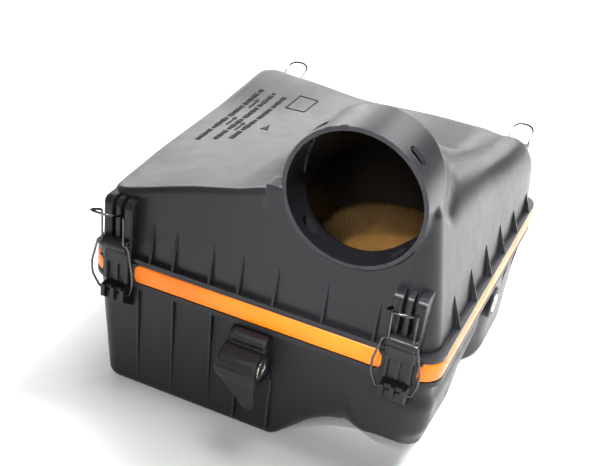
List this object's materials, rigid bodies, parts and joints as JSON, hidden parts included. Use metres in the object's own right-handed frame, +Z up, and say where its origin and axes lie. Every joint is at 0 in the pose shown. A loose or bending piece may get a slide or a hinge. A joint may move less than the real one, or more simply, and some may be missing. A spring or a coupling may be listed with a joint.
{
  "type": "air filter housing",
  "caption": "Two-part plastic air filter housing with a round angled outlet, an orange-sealed pleated panel filter, wire spring clips and rubber-mounted fixing lugs.",
  "frame": {"origin": "on the base's flat underside, below the centre of the square joint flange", "axes": "+Z up through the flange, +X to the right along the front, -Y out of the outlet"},
  "size_m": [0.25, 0.3066, 0.2485],
  "materials": {
    "tub_plastic": "fine moulded texture, satin",
    "cover_plastic": "smooth satin moulding",
    "orange_polyurethane": "smooth cast polyurethane",
    "filter_paper": "creped paper",
    "glue": "hot-melt glue",
    "rubber": "matte rubber",
    "zinc_steel": "bright zinc",
    "spring_wire": "drawn spring wire"
  },
  "bodies": {
    "housing": {"lower_housing": "tub_plastic", "inlet_seal": "rubber", "front_mount_grommet": "rubber", "front_mount_sleeve": "zinc_steel", "rear_mount_grommet": "rubber", "rear_mount_sleeve": "zinc_steel", "right_mount_grommet": "rubber", "right_mount_sleeve": "zinc_steel"},
    "cover": {"cover": "cover_plastic"},
    "filter": {"filter_seal": "orange_polyurethane", "filter_media": "filter_paper", "filter_glue_beads": "glue"},
    "clip_front_left": {"clip_front_left": "spring_wire"},
    "clip_front_right": {"clip_front_right": "spring_wire"},
    "clip_back_left": {"clip_back_left": "spring_wire"},
    "clip_back_right": {"clip_back_right": "spring_wire"}
  },
  "joints": [
    {"name": "cover_lift", "type": "slide", "parent": "housing", "child": "cover", "axis": [0, 0, 1], "range_m": [0, 0.12]},
    {"name": "filter_lift", "type": "slide", "parent": "housing", "child": "filter", "axis": [0, 0, 1], "range_m": [0, 0.06]},
    {"name": "front_left_clip_swing", "type": "hinge", "parent": "housing", "child": "clip_front_left", "pos_m": [-0.1015, -0.1305, 0.085], "axis": [1, 0, 0], "range_deg": [0, 150]},
    {"name": "front_right_clip_swing", "type": "hinge", "parent": "housing", "child": "clip_front_right", "pos_m": [0.1, -0.1305, 0.085], "axis": [1, 0, 0], "range_deg": [0, 150]},
    {"name": "back_left_clip_swing", "type": "hinge", "parent": "housing", "child": "clip_back_left", "pos_m": [-0.098, 0.1305, 0.085], "axis": [-1, 0, 0], "range_deg": [0, 150]},
    {"name": "back_right_clip_swing", "type": "hinge", "parent": "housing", "child": "clip_back_right", "pos_m": [0.098, 0.1305, 0.085], "axis": [-1, 0, 0], "range_deg": [0, 150]}
  ],
  "couplings": [
    {"joint": "filter_lift", "follows": "cover_lift", "ratio": 0.5},
    {"joint": "front_left_clip_swing", "follows": "cover_lift", "rad_per_m": 21.817},
    {"joint": "front_right_clip_swing", "follows": "cover_lift", "rad_per_m": 21.817},
    {"joint": "back_left_clip_swing", "follows": "cover_lift", "rad_per_m": 21.817},
    {"joint": "back_right_clip_swing", "follows": "cover_lift", "rad_per_m": 21.817}
  ]
}
